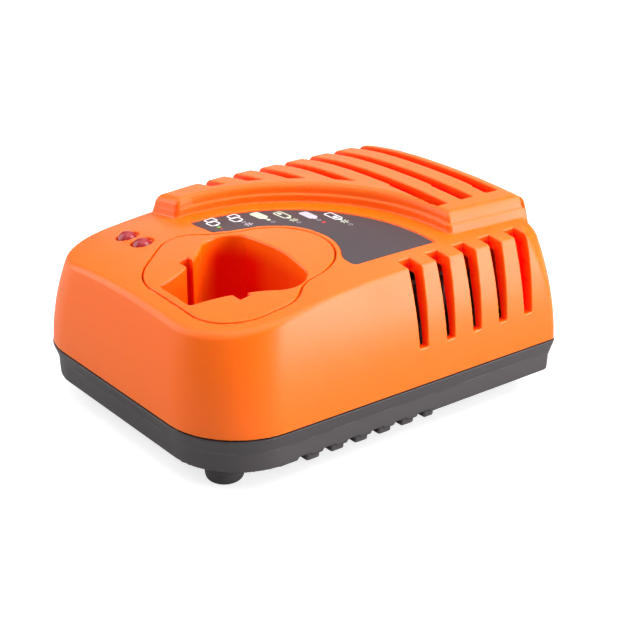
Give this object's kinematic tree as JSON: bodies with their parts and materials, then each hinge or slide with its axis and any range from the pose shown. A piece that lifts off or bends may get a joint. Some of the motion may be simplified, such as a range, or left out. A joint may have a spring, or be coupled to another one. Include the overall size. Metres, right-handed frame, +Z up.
{
  "type": "power tool battery charger",
  "caption": "Desktop charger for stem-type power tool packs: orange vented housing with a keyed pocket in the roof, indicator lamps and a grey base tray on rubber feet.",
  "frame": {"origin": "middle of the footprint on the plane of the feet", "axes": "+X to the side with the wall slots, +Y to the back where the mains lead goes in, +Z up"},
  "size_m": [0.1222, 0.147, 0.0693],
  "materials": {
    "orange_shell": "satin orange moulding with a fine spark texture",
    "orange_insert": "satin orange moulding",
    "charcoal_shell": "satin dark grey moulding with a fine spark texture",
    "label_film": "satin dark grey printed overlay",
    "foot_rubber": "matt dark grey rubber",
    "gland_rubber": "matt black rubber",
    "lamp_lens": "clear dark red plastic",
    "lamp_body": "clear red epoxy",
    "board_laminate": "green solder mask on glass laminate",
    "screw_steel": "zinc plated steel",
    "lead_insulation": "red insulation",
    "black_plastic": "matt black moulding",
    "contact_brass": "bright spring brass",
    "ferrite": "ground dark ferrite",
    "bobbin_plastic": "natural nylon",
    "winding_copper": "enamelled copper",
    "capacitor_sleeve": "shrink sleeve",
    "sink_aluminium": "extruded, black anodised",
    "yellow_case": "yellow epoxy-filled box",
    "fuse_glass": "glass tube with plated caps"
  },
  "bodies": {
    "root": {"top_housing": "orange_shell", "base_tray": "charcoal_shell", "socket_insert": "orange_insert", "status_label": "label_film", "rubber_feet": "foot_rubber", "inlet_gland": "gland_rubber", "power_led_lens": "lamp_lens", "charge_led_lens": "lamp_lens", "power_led": "lamp_body", "charge_led": "lamp_body", "led_board": "board_laminate", "led_board_screws": "screw_steel", "led_leads": "lead_insulation", "contact_block": "black_plastic", "contact_blades": "contact_brass", "contact_leads": "lead_insulation", "socket_screws": "screw_steel", "circuit_board": "board_laminate", "board_screws": "screw_steel", "transformer_core": "ferrite", "transformer_bobbin": "bobbin_plastic", "transformer_winding": "winding_copper", "mains_capacitor": "capacitor_sleeve", "output_capacitors": "capacitor_sleeve", "heat_sink": "sink_aluminium", "power_transistor": "black_plastic", "rectifier_diode": "black_plastic", "bridge_rectifier": "black_plastic", "filter_choke_core": "ferrite", "filter_choke_winding": "winding_copper", "suppression_capacitor": "yellow_case", "fuse": "fuse_glass", "fuse_clips": "contact_brass", "control_chip": "black_plastic", "case_screws": "screw_steel"}
  },
  "joints": []
}
